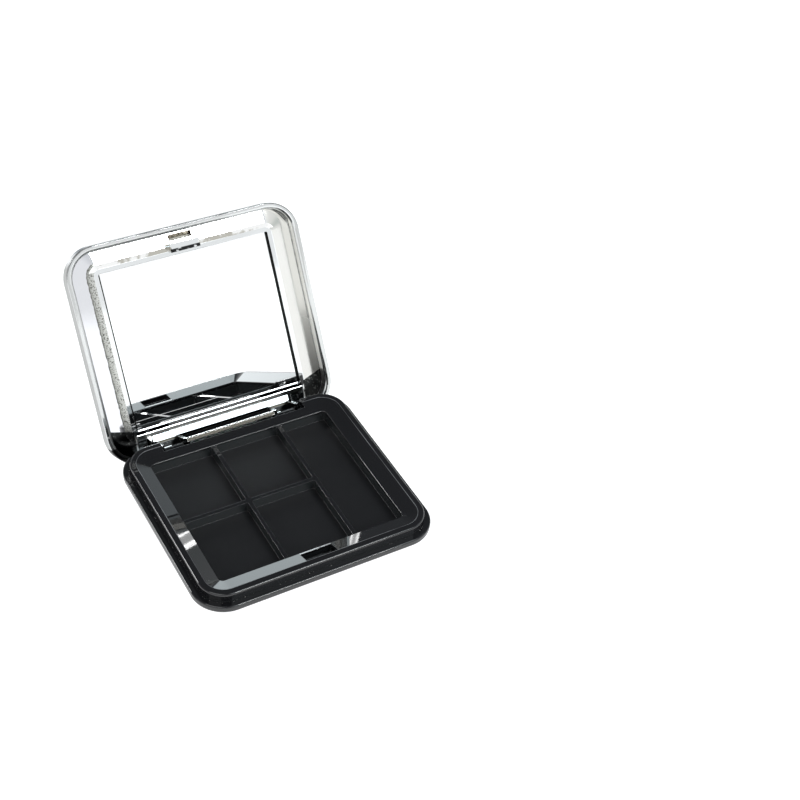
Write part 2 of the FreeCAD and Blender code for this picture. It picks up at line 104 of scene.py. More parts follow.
class Graph:
    """A node tree with short calls for the few nodes this scene uses."""

    def __init__(self, tree: bpy.types.NodeTree) -> None:
        """Starts from an empty tree.

        Args:
            tree: The node tree to fill.
        """
        self.tree = tree
        self.tree.nodes.clear()

    def node(self, kind: str, inputs: dict | None = None, **settings: object) -> bpy.types.Node:
        """Adds a node, sets its own properties and fills its inputs.

        Args:
            kind: Blender's name of the node type.
            inputs: Numbers, tuples or sockets for its inputs, by name or index.
            settings: Properties of the node, by name.

        Returns:
            The new node.
        """
        node = self.tree.nodes.new(kind)
        for name, value in settings.items():
            setattr(node, name, value)
        for key, value in (inputs or {}).items():
            self.feed(node.inputs[key], value)
        return node

    def feed(self, socket: Socket, value: object) -> None:
        """Links a socket to another, or sets it to a number or colour.

        Args:
            socket: The input to fill.
            value: An output socket, a number or a tuple.
        """
        if isinstance(value, bpy.types.NodeSocket):
            self.tree.links.new(value, socket)
        elif isinstance(value, tuple) and socket.type == "RGBA":
            socket.default_value = (*value, 1.0)
        else:
            socket.default_value = value

    def math(self, operation: str, first: object, second: object = 0.0) -> Socket:
        """Returns the result of one arithmetic step, by Blender's name of it."""
        return self.node("ShaderNodeMath", {0: first, 1: second}, operation=operation).outputs[0]

    def chain(self, operation: str, first: object, *others: object) -> Socket:
        """Returns numbers or sockets joined by one arithmetic step, from left to right.

        Args:
            operation: Blender's name of the step.
            first: The first number or socket.
            others: The numbers or sockets joined to it.

        Returns:
            The output socket.
        """
        for other in others:
            first = self.math(operation, first, other)
        return first

    def times(self, *factors: object) -> Socket:
        """Returns the product of numbers or sockets."""
        return self.chain("MULTIPLY", *factors)

    def plus(self, *terms: object) -> Socket:
        """Returns the sum of numbers or sockets."""
        return self.chain("ADD", *terms)

    def step(self, value: object, ramp: Span, ends: Span = (0.0, 1.0)) -> Socket:
        """Returns a smooth, clamped ramp between two results as a value runs between two others.

        Args:
            value: The number that drives the ramp.
            ramp: Where the ramp begins and ends.
            ends: Its results there.

        Returns:
            The output socket.
        """
        inputs = dict(enumerate((value, *ramp, *ends)))
        node = self.node("ShaderNodeMapRange", inputs, interpolation_type="SMOOTHSTEP", clamp=True)
        return node.outputs["Result"]

    def above(self, value: Socket, limit: float, soft: float) -> Socket:
        """Returns 1 where a value is above a limit and 0 below it, with a soft change."""
        return self.step(value, (limit - soft, limit + soft))

    def below(self, value: Socket, limit: float, soft: float) -> Socket:
        """Returns 1 where a value is below a limit and 0 above it, with a soft change."""
        return self.step(value, (limit + soft, limit - soft))

    def within(self, value: Socket, low: float, high: float, soft: float) -> Socket:
        """Returns 1 where a value lies between two limits, with soft ends."""
        return self.times(self.above(value, low, soft), self.below(value, high, soft))

    def near(self, value: Socket, level: float, reach: float, soft: float) -> Socket:
        """Returns 1 where a value lies within a reach of a level, with soft ends."""
        return self.within(value, level - reach, level + reach, soft)

    def mix(self, share: object, first: object, second: object) -> Socket:
        """Returns a colour between two others, the second in full where the share is 1."""
        inputs = {"Factor": share, 6: first, 7: second}
        return self.node("ShaderNodeMix", inputs, data_type="RGBA").outputs[2]

    def parts(self, vector: Socket) -> tuple[Socket, Socket, Socket]:
        """Returns the x, y and z of a vector."""
        return tuple(self.node("ShaderNodeSeparateXYZ", {0: vector}).outputs)

    def vector(self, operation: str, first: object, second: object = None) -> Socket:
        """Returns the result of one vector step.

        Args:
            operation: Blender's name of the step.
            first: The first vector or socket.
            second: The second vector or socket, if the step has one.

        Returns:
            The output socket, a number for LENGTH and DOT_PRODUCT.
        """
        node = self.node("ShaderNodeVectorMath", operation=operation)
        self.feed(node.inputs[0], first)
        if second is not None:
            self.feed(node.inputs[1], second)
        return node.outputs["Value" if operation in ("LENGTH", "DOT_PRODUCT") else "Vector"]

    def noise(self, place: Socket, scale: float, detail: float) -> Socket:
        """Returns cloudy noise from 0 to 1, of a scale in cycles per metre, with some finer layers."""
        inputs = {"Vector": place, "Scale": scale, "Detail": detail}
        return self.node("ShaderNodeTexNoise", inputs).outputs["Fac"]

    def cells(self, place: Socket, scale: float) -> Socket:
        """Returns the distance to the nearest of many scattered points, in units of their spacing."""
        return self.node("ShaderNodeTexVoronoi", {"Vector": place, "Scale": scale}).outputs["Distance"]

    def stretched(self, place: Socket, scale: Point, turn: Point) -> Socket:
        """Returns coordinates scaled along each axis and turned by angles in radians."""
        return self.node("ShaderNodeMapping", {"Vector": place, "Rotation": turn, "Scale": scale}).outputs[0]


class Paint(Graph):
    """A material with one Principled shader, read from Object coordinates."""

    def __init__(self, name: str) -> None:
        """Makes the material.

        Args:
            name: The material's name.
        """
        self.material = bpy.data.materials.new(name)
        self.material.use_nodes = True
        super().__init__(self.material.node_tree)
        output = self.node("ShaderNodeOutputMaterial")
        self.shader = self.node("ShaderNodeBsdfPrincipled")
        self.feed(output.inputs["Surface"], self.shader.outputs["BSDF"])
        self.place = self.node("ShaderNodeTexCoord").outputs["Object"]

    @cached_property
    def normal(self) -> Socket:
        """The surface's own normal."""
        return self.node("ShaderNodeNewGeometry").outputs["Normal"]

    @cached_property
    def shut(self) -> Socket:
        """The coordinates with the lid turned back onto the base about the hinge."""
        pin = Vector(HINGE)
        moved = pin - Matrix.Rotation(OPEN_ANGLE, 3, "X") @ pin
        inputs = {"Vector": self.place, "Location": moved, "Rotation": (OPEN_ANGLE, 0.0, 0.0)}
        return self.node("ShaderNodeMapping", inputs, vector_type="POINT").outputs[0]

    def put(self, **inputs: object) -> None:
        """Fills the shader's inputs, with underscores for spaces in their names."""
        for name, value in inputs.items():
            self.feed(self.shader.inputs[name.replace("_", " ")], value)

    def grain(self, grain: Grain) -> Socket:
        """Returns cloudy noise on the surface, read through its ramp."""
        return self.step(self.noise(self.place, grain.scale, grain.detail), grain.ramp, grain.ends)

    def edges(self, radius: float) -> tuple[Socket, Socket]:
        """Finds the edges of a solid from how far a rounded normal leaves the true one.

        Args:
            radius: How far the rounding reaches, in metres.

        Returns:
            The rounded normal, and a mask that is 1 on sharp edges.
        """
        rounded = self.node("ShaderNodeBevel", {"Radius": radius}, samples=EDGE_SAMPLES).outputs[0]
        return rounded, self.step(self.vector("DOT_PRODUCT", rounded, self.normal), EDGE_RAMP)

    def leaned(self, normal: Socket, angle: object) -> Socket:
        """Returns a normal turned about the hinge line by an angle in radians, a number or a socket."""
        inputs = {"Vector": normal, "Angle": angle}
        return self.node("ShaderNodeVectorRotate", inputs, rotation_type="X_AXIS").outputs[0]

    def relief(self, height: Socket, depth: float, normal: Socket) -> Socket:
        """Returns a normal bumped by a height field, one unit of which is a given depth in metres."""
        inputs = {"Strength": 1.0, "Distance": depth, "Height": height, "Normal": normal}
        return self.node("ShaderNodeBump", inputs).outputs[0]

    def inset(self, place: Socket, outline: Outline) -> Socket:
        """Returns the distance in from a rounded rectangle, in plan.

        Args:
            place: The coordinates to measure at.
            outline: The rectangle.

        Returns:
            radius - length(max(|p| - half + radius, 0)) - min(max of the two, 0), with z left out.
        """
        radius = outline.radius
        moved = self.vector("SUBTRACT", place, (0.0, outline.centre, 0.0))
        size = self.vector("ABSOLUTE", self.vector("MULTIPLY", moved, (1.0, 1.0, 0.0)))
        past = self.vector("SUBTRACT", size, (outline.half[0] - radius, outline.half[1] - radius, 0.0))
        outside = self.vector("LENGTH", self.vector("MAXIMUM", past, (0.0, 0.0, 0.0)))
        x, y, _ = self.parts(past)
        inside = self.math("MINIMUM", self.math("MAXIMUM", x, y), 0.0)
        return self.chain("SUBTRACT", radius, outside, inside)


@dataclass(frozen=True)
class GlossPlastic:
    """Black glossy moulded plastic with a faint orange peel, hairline scratches, dust in its corners, and
    paler edges, partly wear and partly a painted highlight.
    """

    name: str
    colour: Colour = (0.0060, 0.0060, 0.0068)
    cloud: Grain = Grain(45.0, 3.0, (0.3, 0.7))
    cloud_tone: float = 1.25
    edge: float = 0.12 * MM
    # Sharp edges are paler, partly wear and partly a painted highlight.
    rubbed_and_painted_light: Colour = (0.055, 0.055, 0.057)
    rubbed_and_highlight_share: float = 0.7
    smear: Grain = Grain(95.0, 5.0, (0.35, 0.75), (0.012, 0.030))
    scratch_scale: Point = (2400.0, 60.0, 60.0)
    scratch_turn: Point = (0.0, 0.0, 0.5)
    scratch_ramp: Span = (0.68, 0.76)
    scratch_haze: float = 0.05
    peel_scale: float = 1400.0
    peel_depth: float = 0.0004 * MM
    dust: Colour = (0.34, 0.33, 0.31)
    dust_patch: Grain = Grain(210.0, 4.0, (0.50, 0.66))
    dust_rim: Span = (0.1, 0.6)
    dust_share: Span = (0.03, 0.85)
    dust_height: float = 8.0
    dust_haze: float = 0.5
    fleck_scale: float = 1900.0
    fleck_size: Span = (0.20, 0.10)
    seam: Span | None = None
    seam_core: float = 0.2
    grit: Grain = Grain(2300.0, 4.0, (0.60, 0.70))
    grit_patch: Grain = Grain(140.0, 2.0, (0.42, 0.62))
    floor: float | None = None
    floor_reach: float = 0.06 * MM
    floor_haze: float = 0.30
    refraction: float = 1.52

    def shades(self, paint: Paint) -> list[tuple[Socket, Colour]]:
        """Returns masks and colours of the places where the plastic is paler, here none."""
        return []

    def specks(self, paint: Paint, rim: Socket) -> Socket:
        """Returns the dust mask: flecks along edges and joints, more in the seam and few elsewhere.

        Args:
            paint: The material being made.
            rim: The mask of sharp edges and joints.

        Returns:
            A mask from 0 to 1.
        """
        fleck = paint.step(paint.cells(paint.place, self.fleck_scale), self.fleck_size)
        along = paint.step(rim, self.dust_rim, self.dust_share)
        share = paint.times(fleck, paint.grain(self.dust_patch), along)
        if self.seam is not None:
            inset, width = self.seam
            away = paint.math("ABSOLUTE", paint.math("SUBTRACT", paint.inset(paint.place, CASE), inset))
            near = paint.step(away, (width, self.seam_core * width))
            grit = paint.times(near, paint.grain(self.grit), paint.grain(self.grit_patch))
            share = paint.math("MAXIMUM", share, grit)
        return share

    def build(self) -> bpy.types.Material:
        """Makes the material, duller on a floor if there is one.

        Returns:
            The finished material.
        """
        paint = Paint(self.name)
        normal, rim = paint.edges(self.edge)
        dust = self.specks(paint, rim)
        tone = paint.mix(paint.grain(self.cloud), self.colour, scaled(self.colour, self.cloud_tone))
        for mask, shade in self.shades(paint):
            tone = paint.mix(mask, tone, shade)
        # Paler sharp edges, partly wear and partly a painted highlight.
        worn_and_painted_light = paint.mix(paint.times(rim, self.rubbed_and_highlight_share), tone, self.rubbed_and_painted_light)
        marks = paint.noise(paint.stretched(paint.place, self.scratch_scale, self.scratch_turn), 1.0, 2.0)
        scratch = paint.times(paint.step(marks, self.scratch_ramp), self.scratch_haze)
        haze = paint.plus(paint.grain(self.smear), scratch, paint.times(dust, self.dust_haze))
        if self.floor is not None:
            _, _, z = paint.parts(paint.place)
            low = paint.below(z, self.floor + self.floor_reach, FINE)
            haze = paint.plus(haze, paint.times(low, self.floor_haze))
        peel = paint.noise(paint.place, self.peel_scale, 2.0)
        height = paint.plus(peel, paint.times(dust, self.dust_height))
        paint.put(Base_Color=paint.mix(dust, worn_and_painted_light, self.dust), Roughness=haze, IOR=self.refraction,
                  Normal=paint.relief(height, self.peel_depth, normal))
        return paint.material


@dataclass(frozen=True)
class HullPlastic(GlossPlastic):
    """The shell's plastic, paler round its foot as a painted reflection of the floor."""

    # The foot is painted paler, as a reflection of the floor.
    painted_floor_reflection: Colour = (0.060, 0.060, 0.064)
    floor_reflection_top: float = 5.15 * MM
    floor_reflection_soft: float = 0.15 * MM

    def shades(self, paint: Paint) -> list[tuple[Socket, Colour]]:
        """Returns the mask and colour of the painted floor reflection round the foot."""
        _, _, z = paint.parts(paint.place)
        return [(paint.below(z, self.floor_reflection_top, self.floor_reflection_soft), self.painted_floor_reflection)]


@dataclass(frozen=True)
class TrayPlastic(GlossPlastic):
    """The tray's plastic, with painted light: well walls painted lighter than the floors, a painted highlight
    line along the bevel and a painted highlight on the lip behind the latch.
    """

    # Paler sharp edges, partly wear and partly a painted highlight.
    rubbed_and_painted_light: Colour = (0.19, 0.19, 0.195)
    # The well walls are painted lighter than the floors, as painted light.
    walls: Colour = (0.016, 0.018, 0.019)
    wall_top: float = 7.4 * MM
    wall_gap: float = 0.2 * MM
    # A painted highlight line round the bevel's outer edge.
    line: Colour = (0.17, 0.175, 0.18)
    line_inset: float = 3.95 * MM
    line_level: float = 9.85 * MM
    line_faint: Grain = Grain(80.0, 3.0, (0.35, 0.65), (0.25, 1.0))
    # A painted highlight on the lip behind the latch.
    lip: Colour = (0.50, 0.51, 0.52)
    lip_half: float = 4.85 * MM
    lip_back: Span = (-25.05 * MM, -24.65 * MM)

    def shades(self, paint: Paint) -> list[tuple[Socket, Colour]]:
        """Finds the places painted lighter, as light and highlights.

        Args:
            paint: The material being made.

        Returns:
            Masks and colours of the well walls painted lighter as light, of the painted highlight line round
            the bevel and of the painted highlight on the lip behind the latch.
        """
        x, y, z = paint.parts(paint.place)
        wall = paint.within(z, self.floor + self.wall_gap, self.wall_top, SOFT)
        line = paint.times(paint.near(paint.inset(paint.place, CASE), self.line_inset, WIDE, FINE),
                           paint.grain(self.line_faint), paint.above(z, self.line_level, SOFT))
        lip = paint.times(paint.near(x, 0.0, self.lip_half, WIDE), paint.within(y, *self.lip_back, SOFT),
                          paint.above(z, self.wall_top + self.wall_gap, SOFT))
        return [(wall, self.walls), (line, self.line), (lip, self.lip)]


@dataclass(frozen=True)
class Patch:
    """A place where a bright film takes another colour, for wear, dirt, painted shade and painted reflection,
    and how much rougher it is there.
    """

    mask: Socket
    colour: object
    haze: float = 0.0


@dataclass(frozen=True)
class PlatedPlastic:
    """Bright metal film on moulded plastic: slightly wavy, hazy in places, and darkened in grains along its
    edges, partly wear and partly painted shade.
    """

    name: str
    colour: Colour = (0.74, 0.755, 0.76)
    cloud: Grain = Grain(70.0, 3.0, (0.3, 0.7))
    cloud_tone: float = 0.94
    haze: Grain = Grain(120.0, 5.0, (0.35, 0.8), (0.02, 0.06))
    edge: float = 0.18 * MM
    # Sharp edges are darkened in grains, partly wear of the film and partly painted shade.
    edge_wear_and_shade: Colour = (0.10, 0.10, 0.095)
    edge_wear_and_shade_grain: Grain = Grain(900.0, 5.0, (0.44, 0.58))
    wear: float = 0.45
    wave: float = 0.003 * MM
    wave_scale: float = 110.0
    ripple_scale: float = 1800.0
    ripple_share: float = 0.02
    lean: float = LEAN

    def patches(self, paint: Paint, rim: Socket) -> list[Patch]:
        """Returns the grains along the film's sharp edges, partly wear and partly painted shade."""
        return [Patch(paint.times(rim, paint.grain(self.edge_wear_and_shade_grain), self.wear), self.edge_wear_and_shade, haze=0.25)]

    def slant(self, paint: Paint) -> object:
        """Returns how far the bright faces lean, here the same all over."""
        return self.lean

    def build(self) -> bpy.types.Material:
        """Makes the material.

        Returns:
            The finished material.
        """
        paint = Paint(self.name)
        normal, rim = paint.edges(self.edge)
        tone = paint.mix(paint.grain(self.cloud), self.colour, scaled(self.colour, self.cloud_tone))
        haze = paint.grain(self.haze)
        for patch in self.patches(paint, rim):
            tone = paint.mix(patch.mask, tone, patch.colour)
            haze = paint.plus(haze, paint.times(patch.mask, patch.haze))
        ripple = paint.times(paint.noise(paint.place, self.ripple_scale, 2.0), self.ripple_share)
        height = paint.plus(paint.noise(paint.place, self.wave_scale, 1.0), ripple)
        paint.put(Base_Color=tone, Metallic=1.0, Roughness=haze,
                  Normal=paint.leaned(paint.relief(height, self.wave, normal), self.slant(paint)))
        return paint.material


def slot(paint: Paint) -> Socket:
    """Returns a mask of the walls of the slot beside the latch hook."""
    x, y, z = paint.parts(paint.shut)
    return paint.times(paint.near(x, 0.0, SLOT_HALF, HAIR), paint.within(y, *SLOT_DEPTH, HAIR),
                       paint.within(z, *SLOT_HEIGHT, SOFT))


@dataclass(frozen=True)
class ShellFilm(PlatedPlastic):
    """The lid's film, with painted light: a rim darkened by side as painted shade, with painted dark lines,
    and painted shade with paler specks on the hinge block, in the hinge pockets, on their ends and in the
    slot.
    """

    # Painted shade with paler specks on the hinge block's face, in the pockets and on their ends.
    painted_shade: Colour = (0.016, 0.016, 0.016)
    painted_shade_grey: Colour = (0.16, 0.16, 0.155)
    painted_shade_grey_grain: Grain = Grain(2600.0, 4.0, (0.62, 0.70))
    # Brownish painted shade on the block's foot, in the pockets and in the slot.
    painted_shade_brown: Colour = (0.052, 0.047, 0.039)
    block_half: float = 15.4 * MM
    block_front: float = 28.5 * MM
    block_heights: Span = (3.85 * MM, 10.6 * MM)
    block_lean: float = math.radians(17.0)
    bright_end: float = 1.0 * MM
    foot: float = 3.6 * MM
    foot_depths: Span = (28.8 * MM, 29.8 * MM)
    roof_half: float = 24.0 * MM
    roof_soft: float = 0.3 * MM
    roof_depths: Span = (25.0 * MM, 25.5 * MM)
    roof_level: float = 10.55 * MM
    roof_lean: float = math.radians(-27.0)
    # The rim is painted darker as shade, more on its sides than at the front.
    dull: Colour = (0.55, 0.56, 0.555)
    dull_share: Span = (0.95, 0.55)
    # The rim's inner wall is painted paler as a reflection.
    soft: Colour = (0.86, 0.86, 0.84)
    # The outer wall beside the rim, on the left, is painted darker as shade.
    outer: Colour = (0.36, 0.365, 0.36)
    # Narrow dark lines beside the rim, painted as shade.
    line: Colour = (0.06, 0.06, 0.06)
    line_faint: Grain = Grain(90.0, 3.0, (0.35, 0.65), (0.55, 0.92))
    outer_line: Span = (-0.1 * MM, 0.34 * MM)
    inner_line: Span = (1.58 * MM, 1.9 * MM)
    rim_front: Span = (-24.0 * MM, -30.0 * MM)
    rim_left: Span = (20.0 * MM, 10.0 * MM)
    rim_heights: Span = (7.2 * MM, 8.2 * MM)
    rim_width: float = 1.8 * MM
    shoulder: Span = (0.85 * MM, 1.1 * MM)
    wall_insets: Span = (1.7 * MM, 1.95 * MM)
    wall_heights: Span = (8.15 * MM, 10.7 * MM)
    wall_back: Span = (0.0, 8.0 * MM)
    outside_inset: float = 0.2 * MM
    outside_level: float = 7.45 * MM
    outside_left: Span = (-34.0 * MM, -36.0 * MM)
    pocket_top: float = 11.05 * MM
    pocket_back: float = 32.55 * MM
    pocket_sides: Span = (15.3 * MM, 21.9 * MM)
    strip_depths: Span = (28.65 * MM, 29.4 * MM)
    deep_depths: Span = (29.4 * MM, 31.1 * MM)
    end_side: float = 22.6 * MM
    end_depths: Span = (26.3 * MM, 31.2 * MM)
    middle_soft: float = 1.0 * MM

    def block(self, paint: Paint) -> tuple[Socket, Socket, Socket]:
        """Finds the faces of the hinge block.

        Args:
            paint: The material being made.

        Returns:
            Masks of the roof beside the block, of its front face and of its foot.
        """
        x, y, z = paint.parts(paint.shut)
        across = paint.near(x, 0.0, self.block_half - self.bright_end, SOFT)
        roof = paint.times(paint.near(x, 0.0, self.roof_half, self.roof_soft),
                           paint.step(y, self.roof_depths), paint.above(z, self.roof_level, SOFT))
        face = paint.times(across, paint.near(y, self.block_front, FACE, HAIR),
                           paint.within(z, *self.block_heights, WIDE))
        foot = paint.times(across, paint.near(z, self.foot, FACE, HAIR),
                           paint.within(y, *self.foot_depths, WIDE))
        return roof, face, foot

    def slant(self, paint: Paint) -> Socket:
        """Finds the lean, which differs on the roof beside the hinge block and on the block's faces.

        Args:
            paint: The material being made.

        Returns:
            The angle in radians.
        """
        roof, face, foot = self.block(paint)
        back = paint.times(paint.math("MAXIMUM", roof, foot), self.roof_lean)
        return paint.plus(self.lean, back, paint.times(face, self.block_lean))

    def patches(self, paint: Paint, rim: Socket) -> list[Patch]:
        """Finds the edge grains, the rim, and the painted shade on the block's face and foot, in the pockets
        and in the slot.

        Args:
            paint: The material being made.
            rim: The mask of sharp edges.

        Returns:
            The patches, laid over each other in turn.
        """
        _, face, foot = self.block(paint)
        # Painted shade with paler specks.
        painted_shade = paint.mix(paint.grain(self.painted_shade_grey_grain), self.painted_shade, self.painted_shade_grey)
        return super().patches(paint, rim) + self.rim(paint) + [
            Patch(face, painted_shade, haze=0.10),
            Patch(foot, self.painted_shade_brown, haze=0.10),
            *self.pockets(paint, painted_shade),
            Patch(slot(paint), self.painted_shade_brown),
        ]

    def rim(self, paint: Paint) -> list[Patch]:
        """Finds the rim painted darker as shade, more on its sides and left shoulder than at the front, the
        outer wall on the left painted darker as shade, the inner wall painted paler as a reflection, and dark
        lines beside the rim painted as shade.

        Args:
            paint: The material being made.

        Returns:
            The patches, laid over each other in turn.
        """
        x, y, z = paint.parts(paint.shut)
        inset = paint.inset(paint.shut, CASE)
        front = paint.step(y, self.rim_front)
        left = paint.step(x, self.rim_left)
        low = paint.within(z, *self.rim_heights, SOFT)
        wall = paint.times(paint.within(inset, *self.wall_insets, HAIR),
                           paint.within(z, *self.wall_heights, SOFT))
        outside = paint.times(paint.below(inset, self.outside_inset, SOFT), paint.step(x, self.outside_left),
                              paint.above(z, self.outside_level, SOFT))
        outer = paint.times(front, paint.within(inset, *self.outer_line, SOFT))
        inner = paint.times(left, paint.within(inset, *self.inner_line, SOFT))
        line = paint.times(paint.math("MAXIMUM", outer, inner), low, paint.grain(self.line_faint))
        # Painted shade and reflection on the rim, its walls and the lines beside it.
        return [
            Patch(paint.times(low, paint.step(front, (0.0, 1.0), self.dull_share)), self.dull, haze=0.02),
            Patch(paint.times(low, left, paint.step(inset, self.shoulder)), self.dull, haze=0.25),
            Patch(outside, self.outer, haze=0.35),
            Patch(wall, self.soft, haze=0.02),
            Patch(paint.times(wall, paint.step(y, self.wall_back)), self.soft, haze=0.30),
            Patch(line, self.line, haze=0.10),
        ]

    def pockets(self, paint: Paint, painted_shade: Socket) -> list[Patch]:
        """Finds the pockets round the hinge arms and the ends beyond them, painted dark as shade.

        Args:
            paint: The material being made.
            painted_shade: The dark colour with paler specks that is painted as shade.

        Returns:
            The patches, laid over each other in turn.
        """
        x, y, z = paint.parts(paint.shut)
        side = paint.math("ABSOLUTE", x)
        inside = paint.times(paint.below(z, self.pocket_top, SOFT), paint.below(y, self.pocket_back, SOFT))
        arm = paint.times(inside, paint.within(side, *self.pocket_sides, FINE))
        in_rim = paint.above(paint.inset(paint.shut, CASE), self.rim_width, SOFT)
        end = paint.times(inside, paint.math("MAXIMUM", in_rim, paint.below(x, 0.0, self.middle_soft)),
                          paint.above(side, self.end_side, SOFT), paint.within(y, *self.end_depths, WIDE))
        return [
            Patch(paint.times(arm, paint.within(y, *self.strip_depths, SOFT)), self.painted_shade_brown, haze=0.15),
            Patch(paint.times(arm, paint.within(y, *self.deep_depths, SOFT)), painted_shade, haze=0.10),
            Patch(end, painted_shade, haze=0.10),
        ]


@dataclass(frozen=True)
class PlateFilm(PlatedPlastic):
    """The top plate's film, darker and brownish on its underside."""

    colour: Colour = (0.60, 0.66, 0.70)
    haze: Grain = Grain(120.0, 5.0, (0.35, 0.8), (0.03, 0.08))
    wave: float = 0.002 * MM
    wear: float = 0.25
    underside_tone: Colour = (0.105, 0.094, 0.075)
    underside: Span = (11.50 * MM, 11.46 * MM)

    def patches(self, paint: Paint, rim: Socket) -> list[Patch]:
        """Returns the edge grains and the darker underside."""
        _, _, z = paint.parts(paint.shut)
        return super().patches(paint, rim) + [Patch(paint.step(z, self.underside), self.underside_tone, haze=0.2)]


@dataclass(frozen=True)
class FrameFilm(PlatedPlastic):
    """The mirror frame's film, with painted light: slopes tinted by side as painted reflection, a speckled
    band of painted shade along its crest, a painted reflection beside the hook, and painted shade on the bar
    beside the hinge, in its corners, on the hook and in the slot.
    """

    # The left and right slopes are tinted differently, as painted reflection.
    slopes: tuple[Colour, Colour] = ((0.70, 0.705, 0.73), (0.64, 0.635, 0.61))
    slope_start: float = 1.5 * MM
    slope_sides: Span = (27.5 * MM, 28.5 * MM)
    # A speckled band along the crest, except down the left side, is painted darker as shade.
    band: Span = (1.35 * MM, 3.45 * MM)
    band_left: Span = (-27.0 * MM, -28.0 * MM)
    band_edge: Grain = Grain(900.0, 4.0, (0.3, 0.7), (-0.10 * MM, 0.10 * MM))
    band_line: float = 0.25 * MM
    # The band's painted shade colours, paler towards the crest.
    rubbed_and_painted_light: tuple[Colour, Colour] = ((0.36, 0.365, 0.34), (0.56, 0.565, 0.54))
    # Darker specks in the band and its outer line, painted shade.
    painted_shade_specks: Colour = (0.13, 0.13, 0.12)
    painted_shade_speck_grain: Grain = Grain(2600.0, 6.0, (0.50, 0.62))
    # Beige and pale speckles on the crest beside the hook, painted reflection.
    beige: Colour = (0.47, 0.455, 0.41)
    pale: Colour = (0.86, 0.86, 0.85)
    front_band: Span = (1.35 * MM, 2.70 * MM)
    front_start: Span = (-25.2 * MM, -25.5 * MM)
    front_scale: float = 400.0
    front_sides: Span = (4.0 * MM, 28.0 * MM)
    front_fade: Span = (0.12, -0.12)
    front_ramp: Span = (0.40, 0.60)
    front_lean: float = math.radians(14.0)
    hook_sides: Span = (4.2 * MM, 4.4 * MM)
    hook_tip: float = 7.25 * MM
    hook_back: float = -26.6 * MM
    # Dark specks on the hook, painted shade.
    hook_shade_grain: Grain = Grain(620.0, 3.0, (0.35, 0.43))
    # Painted shade with paler specks on the bar beside the hinge and in the corners.
    painted_shade: Colour = (0.022, 0.023, 0.023)
    painted_shade_grey: Colour = (0.12, 0.125, 0.12)
    painted_shade_grey_grain: Grain = Grain(1500.0, 4.0, (0.58, 0.66))
    # Brownish painted shade in the slot.
    painted_shade_brown: Colour = (0.085, 0.078, 0.063)
    bar_half: float = 1.02 * WINDOW.half[0]
    bar_land: Span = (23.75 * MM, 24.75 * MM)
    bar_slope: Span = (25.25 * MM, 26.40 * MM)
    bar_crest: Span = (24.8 * MM, 24.9 * MM)
    bar_lean: float = math.radians(-23.0)
    corner_sides: Span = (28.0 * MM, 28.3 * MM)
    corner_slant: float = 0.25
    corner_depths: Span = (30.3 * MM, 30.5 * MM)

    def slant(self, paint: Paint) -> Socket:
        """Finds the lean, which differs on the bar beside the hinge and on the crest beside the hook.

        Args:
            paint: The material being made.

        Returns:
            The angle in radians.
        """
        x, y, _ = paint.parts(paint.shut)
        low = paint.times(paint.step(y, self.bar_crest), paint.near(x, 0.0, self.bar_half, WIDE))
        return paint.plus(self.lean, paint.times(low, self.bar_lean),
                          paint.times(self.beside(paint), self.front_lean))

    def away(self, paint: Paint) -> Socket:
        """Returns the distance out from the edge of the window."""
        return paint.times(paint.inset(paint.shut, WINDOW), -1.0)

    def beside(self, paint: Paint) -> Socket:
        """Finds the crest on both sides of the hook, where a reflection is painted.

        Args:
            paint: The material being made.

        Returns:
            The mask of the crest.
        """
        x, y, _ = paint.parts(paint.shut)
        return paint.times(paint.step(y, self.front_start),
                           paint.within(self.away(paint), *self.front_band, WIDE),
                           paint.step(paint.math("ABSOLUTE", x), self.hook_sides))

    def patches(self, paint: Paint, rim: Socket) -> list[Patch]:
        """Finds the edge grains, the slopes tinted as painted reflection, the band of painted shade along the
        crest, the painted reflection beside the hook, and the painted shade on the bar beside the hinge, in
        the corners, on the hook and in the slot.

        Args:
            paint: The material being made.
            rim: The mask of sharp edges.

        Returns:
            The patches, laid over each other in turn.
        """
        x, y, z = paint.parts(paint.shut)
        side = paint.math("ABSOLUTE", x)
        away = self.away(paint)
        first, last = self.band
        sloped = paint.above(away, self.slope_start, SOFT)
        right = paint.times(sloped, paint.step(x, self.slope_sides))
        left = paint.times(sloped, paint.step(paint.times(x, -1.0), self.slope_sides))
        band = paint.times(paint.above(away, first, SOFT),
                           paint.below(paint.plus(away, paint.grain(self.band_edge)), last, WIDE),
                           paint.step(x, self.band_left))
        film = paint.mix(paint.step(away, (last, first)), *self.rubbed_and_painted_light)
        outline = paint.times(band, paint.above(away, last - self.band_line, SOFT))
        fade = paint.step(side, self.front_sides, self.front_fade)
